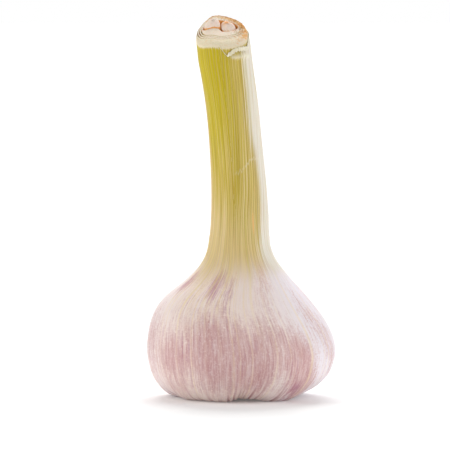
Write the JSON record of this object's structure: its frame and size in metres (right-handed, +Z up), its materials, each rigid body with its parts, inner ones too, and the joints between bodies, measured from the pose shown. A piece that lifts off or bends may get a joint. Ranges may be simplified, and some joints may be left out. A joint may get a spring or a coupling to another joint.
{
  "type": "fresh garlic bulb",
  "caption": "Fresh garlic bulb with pink-streaked skin and a trimmed green stem, cut on a slant to show its nested leaf sheaths.",
  "frame": {"origin": "on the surface that the bulb stands on, under the middle of the bulb", "axes": "+Z up along the stem, -Y the front that the slanted cut faces, +X to the right, away from the stem's lean"},
  "size_m": [0.0602, 0.0572, 0.1222],
  "materials": {
    "bulb_skin": "satin, with fine ribs and purple streaks",
    "green_leaf": "satin, with fine ribs along the stem",
    "thin_leaf": "matte, drying at its edge",
    "pale_flesh": "moist, fibrous cut flesh",
    "root": "matte and fibrous"
  },
  "bodies": {
    "root": {"bulb": "bulb_skin", "root_plate": "root", "green_sheath": "green_leaf", "thin_sheath_outer": "thin_leaf", "thin_sheath_inner": "thin_leaf", "pale_sheath": "pale_flesh", "leaf_roll": "pale_flesh", "flower_stalk": "pale_flesh"}
  },
  "joints": []
}
